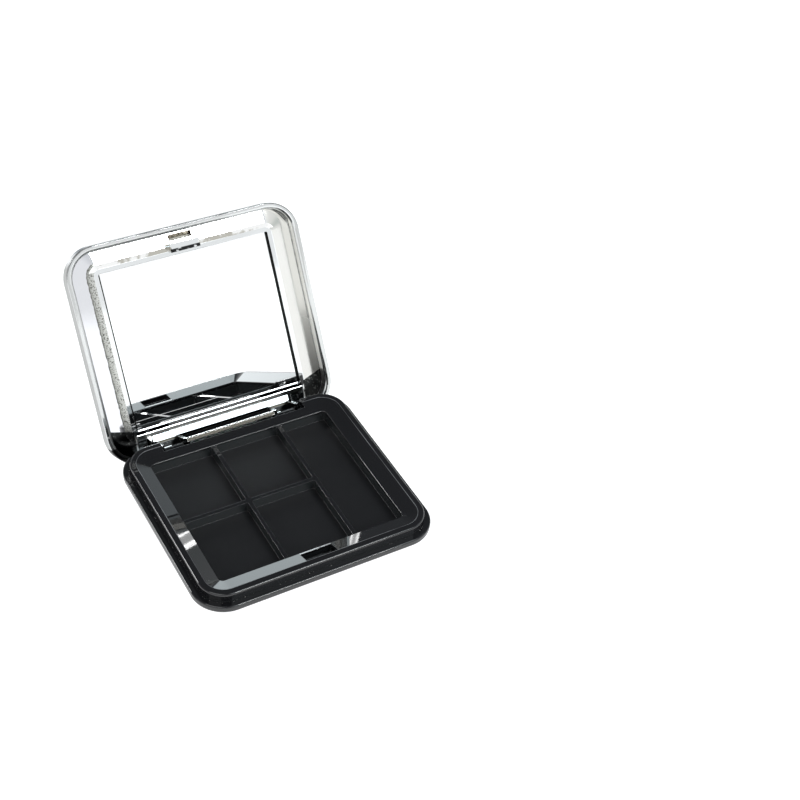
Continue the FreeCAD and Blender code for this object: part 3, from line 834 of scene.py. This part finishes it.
        # Speckles of the painted reflection beside the hook.
        worn_and_painted_light = paint.step(paint.plus(paint.noise(paint.place, self.front_scale, 4.0), fade), self.front_ramp)
        across = paint.step(side, (self.bar_half, WINDOW.half[0]))
        slanted = paint.plus(y, paint.times(side, self.corner_slant))
        corner = paint.times(paint.step(side, self.corner_sides), paint.step(slanted, self.corner_depths))
        hook_shade = paint.times(paint.below(z, self.hook_tip, SOFT), paint.above(y, self.hook_back, WIDE),
                            paint.grain(self.hook_shade_grain))
        return super().patches(paint, rim) + [
            Patch(right, self.slopes[1], haze=0.12),
            Patch(left, self.slopes[0], haze=0.02),
            Patch(band, paint.mix(paint.grain(self.painted_shade_speck_grain), film, self.painted_shade_specks), haze=0.20),
            Patch(outline, self.painted_shade_specks, haze=0.20),
            Patch(self.beside(paint), paint.mix(worn_and_painted_light, self.pale, self.beige)),
            Patch(paint.times(across, paint.within(y, *self.bar_land, SOFT)), self.painted_shade, haze=0.05),
            Patch(paint.times(across, paint.within(y, *self.bar_slope, SOFT)), self.painted_shade_grey, haze=0.10),
            Patch(corner, paint.mix(paint.grain(self.painted_shade_grey_grain), self.painted_shade, self.painted_shade_grey), haze=0.10),
            Patch(hook_shade, self.painted_shade, haze=0.02),
            Patch(slot(paint), self.painted_shade_brown),
        ]


@dataclass(frozen=True)
class MirrorGlass:
    """Silvered glass: bright, very smooth and faintly smeared, with dark strips down its sides painted as
    shade.
    """

    name: str
    colour: Colour = (0.955, 0.965, 0.965)
    smear_scale: float = 60.0
    smear_stretch: Point = (1.0, 3.0, 1.0)
    smear_turn: Point = (0.3, 0.0, 0.6)
    smear_ramp: Span = (0.4, 0.8)
    smear_tone: float = 0.97
    haze_ramp: Span = (0.45, 0.85)
    haze: Span = (0.004, 0.016)
    # Dark strips down the sides, painted shade.
    strips: Span = (0.44 * MM, 0.85 * MM)
    strip_colour: Colour = (0.012, 0.013, 0.013)
    strip_haze: float = 0.10
    lean: float = LEAN

    def build(self) -> bpy.types.Material:
        """Makes the material.

        Returns:
            The finished material.
        """
        paint = Paint(self.name)
        x, _, _ = paint.parts(paint.place)
        turned = paint.stretched(paint.place, self.smear_stretch, self.smear_turn)
        smear = paint.noise(turned, self.smear_scale, 5.0)
        smeared = scaled(self.colour, self.smear_tone)
        tone = paint.mix(paint.step(smear, self.smear_ramp), self.colour, smeared)
        left, right = self.strips
        # The dark side strips, painted shade.
        painted_shade = paint.math("MAXIMUM", paint.below(x, left - WINDOW.half[0], SOFT),
                          paint.above(x, WINDOW.half[0] - right, SOFT))
        haze = paint.plus(paint.step(smear, self.haze_ramp, self.haze), paint.times(painted_shade, self.strip_haze))
        paint.put(Base_Color=paint.mix(painted_shade, tone, self.strip_colour), Metallic=1.0, Roughness=haze,
                  Normal=paint.leaned(paint.normal, self.lean))
        return paint.material


@dataclass(frozen=True)
class DrawnSteel:
    """Plain steel wire with fine rings round it."""

    name: str
    colour: Colour = (0.52, 0.51, 0.50)
    bright: Colour = (0.70, 0.69, 0.68)
    edge: float = 0.08 * MM
    ring_scale: Point = (9000.0, 300.0, 300.0)
    ring_ramp: Span = (0.2, 0.8)
    ring_haze: Span = (0.22, 0.42)
    ring_depth: float = 0.002 * MM

    def build(self) -> bpy.types.Material:
        """Makes the material.

        Returns:
            The finished material.
        """
        paint = Paint(self.name)
        normal, rim = paint.edges(self.edge)
        rings = paint.noise(paint.stretched(paint.place, self.ring_scale, (0.0, 0.0, 0.0)), 1.0, 2.0)
        paint.put(Base_Color=paint.mix(rim, self.colour, self.bright), Metallic=1.0,
                  Roughness=paint.step(rings, self.ring_ramp, self.ring_haze),
                  Normal=paint.relief(rings, self.ring_depth, normal))
        return paint.material


@dataclass(frozen=True)
class AdhesiveSheet:
    """Off-white double-sided tape with a fibrous core."""

    name: str
    colour: Colour = (0.74, 0.72, 0.66)
    core: Colour = (0.60, 0.57, 0.50)
    fibre_scale: Point = (2600.0, 500.0, 900.0)
    fibre_turn: Point = (0.0, 0.0, 0.8)
    fibre_ramp: Span = (0.2, 0.8)
    fibre_haze: Span = (0.55, 0.8)
    fibre_depth: float = 0.02 * MM

    def build(self) -> bpy.types.Material:
        """Makes the material.

        Returns:
            The finished material.
        """
        paint = Paint(self.name)
        fibre = paint.noise(paint.stretched(paint.place, self.fibre_scale, self.fibre_turn), 1.0, 4.0)
        paint.put(Base_Color=paint.mix(fibre, self.colour, self.core),
                  Roughness=paint.step(fibre, self.fibre_ramp, self.fibre_haze),
                  Normal=paint.relief(fibre, self.fibre_depth, paint.normal))
        return paint.material


@dataclass(frozen=True)
class PaleFloor:
    """The plain pale surface that the palette rests on."""

    size: float = 6.0
    drop: float = 0.03 * MM
    cells: int = 8
    colour: Colour = (0.60, 0.60, 0.60)
    cloud_scale: float = 9.0
    cloud_tone: float = 0.985
    cloud_ramp: Span = (0.2, 0.8)
    haze: Span = (0.75, 0.9)
    glow_colour: Colour = (1.0, 1.0, 1.0)
    glow: float = 0.80

    def build(self) -> bpy.types.Object:
        """Makes the floor: points (u, v) on a square grid, at one height.

        Returns:
            The floor's object.
        """
        steps = np.linspace(-self.size / 2, self.size / 2, self.cells + 1)
        u, v = np.meshgrid(steps, steps, indexing="ij")
        points = np.stack([u, v, np.full_like(u, -self.drop)], axis=-1).reshape(-1, 3)
        index = np.arange((self.cells + 1) ** 2).reshape(self.cells + 1, -1)
        around = [index[:-1, :-1], index[1:, :-1], index[1:, 1:], index[:-1, 1:]]
        faces = np.stack(around, axis=-1).reshape(-1, 4)
        mesh = bpy.data.meshes.new("pale_floor")
        mesh.from_pydata(points.tolist(), [], faces.tolist())
        mesh.materials.append(self.finish())
        floor = bpy.data.objects.new("pale_floor", mesh)
        bpy.context.scene.collection.objects.link(floor)
        return floor

    def finish(self) -> bpy.types.Material:
        """Makes matt white card with a very faint cloud in it.

        Returns:
            The finished material.
        """
        paint = Paint("pale_card")
        cloud = paint.noise(paint.place, self.cloud_scale, 3.0)
        paint.put(Base_Color=paint.mix(cloud, self.colour, scaled(self.colour, self.cloud_tone)),
                  Roughness=paint.step(cloud, self.cloud_ramp, self.haze),
                  Emission_Color=self.glow_colour, Emission_Strength=self.glow)
        return paint.material


def aimed(azimuth: float, elevation: float) -> Point:
    """Returns a direction from degrees round from the front towards +X, and degrees above the floor."""
    turn, lift = math.radians(azimuth), math.radians(elevation)
    return (math.sin(turn) * math.cos(lift), -math.cos(turn) * math.cos(lift), math.sin(lift))


@dataclass(frozen=True)
class Softbox:
    """One soft rectangular lamp, aimed at the palette."""

    name: str
    direction: Point
    size: Span
    radiance: float
    colour: Colour = (1.0, 1.0, 1.0)
    aim: Point = (0.0, 10.0 * MM, 10.0 * MM)
    turn: float = 0.0
    distance: float = 2.0

    def build(self) -> bpy.types.Object:
        """Makes the lamp, its power worked out from radiance times pi times area.

        Returns:
            The lamp's object.
        """
        lamp = bpy.data.lights.new(self.name, "AREA")
        lamp.shape = "RECTANGLE"
        lamp.size, lamp.size_y = self.size
        lamp.energy = self.radiance * math.pi * self.size[0] * self.size[1]
        lamp.color = self.colour
        back = Vector(self.direction).normalized()
        lamp_object = bpy.data.objects.new(self.name, lamp)
        lamp_object.matrix_world = (Matrix.Translation(Vector(self.aim) + back * self.distance)
                                    @ back.to_track_quat("Z", "Y").to_matrix().to_4x4()
                                    @ Matrix.Rotation(math.radians(self.turn), 4, "Z"))
        lamp_object.visible_camera = False
        bpy.context.scene.collection.objects.link(lamp_object)
        return lamp_object


def bevel_bar(name: str, way: Span, width: float, radiance: float, aim: Point, turn: float) -> Softbox:
    """Returns a narrow lamp whose reflection makes a bright bar across a bevel.

    Args:
        name: The lamp's name.
        way: Its azimuth and elevation in degrees.
        width: Its width in millimetres.
        radiance: Its radiance.
        aim: The point of the bevel that it is aimed at, in millimetres.
        turn: How far it is turned about its own aim, in degrees.

    Returns:
        The lamp, 40 mm long.
    """
    return Softbox(name, aimed(*way), (width * MM, 40.0 * MM), radiance, aim=scaled(aim, MM), turn=turn)


@dataclass(frozen=True)
class Studio:
    """White low surroundings, white higher up in front, dark overhead and behind, and a few softboxes.

    Ramps are of a direction's components: y runs from the front to behind, z from the floor to overhead.
    """

    low: float = 1.10
    high: float = 0.20
    behind: Span = (-0.10, 0.35)
    straight: Span = (0.72, 0.86)
    rise_front: Span = (0.45, 0.72)
    rise_back: Span = (0.20, 0.52)
    rise_straight: Span = (0.0, 0.09)
    low_colour: Colour = (0.975, 0.99, 1.0)
    high_colour: Colour = (0.86, 0.93, 1.0)
    seen_colour: Colour = (1.0, 1.0, 1.0)
    side: Span = (0.62, 0.76)
    side_scale: float = 6.0
    side_ramp: Span = (0.42, 0.58)
    side_colour: Colour = (0.52, 0.60, 0.58)
    lamps: tuple[Softbox, ...] = (
        Softbox("overhead_box", (-0.43, -0.25, 0.87), (1.2, 1.2), 2.6),
        Softbox("key_box", (0.31, -0.53, 0.79), (1.0, 1.0), 3.5, (0.88, 0.97, 1.0)),
        Softbox("front_strip", aimed(21.0, 33.0), (0.36, 0.20), 34.0),
        Softbox("left_strip", aimed(-131.0, 24.0), (0.22, 0.50), 22.0),
        Softbox("low_box", aimed(11.0, 17.5), (0.7, 0.30), 1.6, (0.90, 0.97, 1.0)),
        Softbox("side_box", aimed(68.0, 40.0), (0.9, 0.7), 0.68, (0.86, 0.96, 1.0)),
        bevel_bar("back_first", (158.87, 8.76), 3.5, 9.0, (10.55, -26.37, 8.92), -31.0),
        bevel_bar("back_fill", (158.74, 8.77), 6.0, 3.0, (11.48, -26.55, 9.0), -31.0),
        bevel_bar("back_last", (158.61, 8.78), 3.5, 9.0, (12.41, -26.73, 9.07), -31.0),
        bevel_bar("side_first", (131.29, 18.19), 4.2, 22.0, (-30.91, -3.41, 9.11), -16.0),
        bevel_bar("side_second", (131.13, 18.23), 3.0, 18.0, (-30.89, -4.83, 9.11), -16.0),
        bevel_bar("side_fill", (130.91, 18.29), 18.0, 3.2, (-30.91, -6.89, 9.11), -16.5),
        bevel_bar("side_third", (130.68, 18.35), 4.2, 20.0, (-30.93, -8.94, 9.12), -17.0),
        bevel_bar("side_last", (130.58, 18.38), 2.5, 16.0, (-30.93, -9.86, 9.12), -17.0),
    )

    def build(self) -> None:
        """Makes the surroundings and the lamps.

        The surroundings are white near the floor and dim overhead. They dim earlier behind the palette than
        in front of it, and earliest straight behind it. The picture's own background stays plain white.
        """
        world = bpy.data.worlds.new("studio")
        bpy.context.scene.world = world
        world.use_nodes = True
        graph = Graph(world.node_tree)
        output = graph.node("ShaderNodeOutputWorld")
        light = graph.node("ShaderNodeBackground")
        graph.feed(output.inputs["Surface"], light.outputs[0])
        way = graph.node("ShaderNodeTexCoord").outputs["Generated"]
        x, y, z = graph.parts(way)
        behind = graph.step(y, self.behind)
        straight = graph.times(graph.step(y, self.straight), graph.step(z, self.rise_straight))
        rise_back = graph.math("MAXIMUM", graph.step(z, self.rise_back), straight)
        rise_front = graph.times(graph.step(z, self.rise_front), graph.math("SUBTRACT", 1.0, behind))
        rise = graph.plus(rise_front, graph.times(rise_back, behind))
        low = graph.times(graph.math("SUBTRACT", 1.0, rise), self.low)
        glow = graph.plus(low, graph.times(rise, self.high))
        seen = graph.node("ShaderNodeLightPath").outputs["Is Camera Ray"]
        graph.feed(light.inputs["Strength"], graph.math("MAXIMUM", glow, seen))
        patchy = graph.step(graph.noise(way, self.side_scale, 2.0), self.side_ramp)
        tint = graph.mix(graph.times(graph.step(x, self.side), patchy), self.low_colour, self.side_colour)
        cool = graph.mix(rise, tint, self.high_colour)
        graph.feed(light.inputs["Color"], graph.mix(seen, cool, self.seen_colour))
        for lamp in self.lamps:
            lamp.build()
            LOG.info("lamp %s", lamp.name)


@dataclass(frozen=True)
class PhotoCamera:
    """The camera fitted to the photograph's outlines."""

    azimuth: float = -33.793
    elevation: float = 42.001
    roll: float = -0.110
    distance: float = 461.234 * MM
    target: Point = (52.997 * MM, 20.154 * MM, 7.2 * MM)
    focal_px: float = 1469.9
    frame_px: float = 800.0
    sensor: float = 36.0
    clip: Span = (0.01, 20.0)

    def build(self) -> bpy.types.Object:
        """Makes the camera and gives it to the scene.

        Returns:
            The camera's object.
        """
        turn = math.radians(self.azimuth)
        back = Vector(aimed(self.azimuth, self.elevation))
        right = Vector((math.cos(turn), math.sin(turn), 0.0))
        up = back.cross(right)
        across = right * math.cos(self.roll) - up * math.sin(self.roll)
        upward = right * math.sin(self.roll) + up * math.cos(self.roll)
        lens = bpy.data.cameras.new("photo_camera")
        lens.sensor_width = self.sensor
        lens.lens = self.focal_px / self.frame_px * self.sensor
        lens.clip_start, lens.clip_end = self.clip
        camera = bpy.data.objects.new("photo_camera", lens)
        facing = Matrix((across, upward, back)).transposed().to_4x4()
        camera.matrix_world = Matrix.Translation(Vector(self.target) + back * self.distance) @ facing
        bpy.context.scene.collection.objects.link(camera)
        bpy.context.scene.camera = camera
        return camera


@dataclass
class Dressing:
    """Puts finishes on the CAD nodes of one body."""

    nodes: dict[str, bpy.types.Object]
    body: Body

    def wear(self, node: str, finish: bpy.types.Material) -> None:
        """Gives one CAD node its finish.

        Args:
            node: The node's name.
            finish: The material that covers it.
        """
        target = self.nodes[node]
        if not target.material_slots:
            target.data.materials.append(finish)
        for holder in target.material_slots:
            holder.material = finish
        LOG.info("%s on %s wears %s", node, self.body.value, finish.name)


@dataclass
class Base(Dressing):
    """The black base: shell, well tray and hinge pins."""

    body: Body = Body.BASE
    seam_inset: float = 1.95 * MM
    seam_width: float = 0.45 * MM
    well_floor: float = 4.35 * MM

    def dress(self) -> None:
        """Puts black plastic on the mouldings and steel on the pins."""
        shell = HullPlastic("black_shell", seam=(self.seam_inset, self.seam_width))
        tray = TrayPlastic("black_tray", floor=self.well_floor)
        steel = DrawnSteel("pin_steel").build()
        self.wear("base_shell", shell.build())
        self.wear("well_tray", tray.build())
        self.wear("hinge_pin_left", steel)
        self.wear("hinge_pin_right", steel)


@dataclass
class Lid(Dressing):
    """The plated lid: shell, plate, mirror frame, mirror and the two adhesive sheets."""

    body: Body = Body.LID

    def dress(self) -> None:
        """Puts bright film on the mouldings and the plate, silver on the mirror and tape on the sheets."""
        tape = AdhesiveSheet("tape").build()
        self.wear("lid_shell", ShellFilm("bright_shell").build())
        self.wear("lid_plate", PlateFilm("bright_plate").build())
        self.wear("mirror_frame", FrameFilm("bright_frame").build())
        self.wear("mirror", MirrorGlass("silvered_glass").build())
        self.wear("plate_tape", tape)
        self.wear("mirror_tape", tape)


def main() -> None:
    """Loads the frame, dresses it and sets the stage."""
    logging.basicConfig(level=logging.INFO, format="%(name)s: %(message)s")
    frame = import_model()
    bpy.context.scene.view_settings.view_transform = "Standard"
    Base(frame["nodes"]).dress()
    Lid(frame["nodes"]).dress()
    PaleFloor().build()
    Studio().build()
    PhotoCamera().build()


if __name__ == "__main__":
    main()
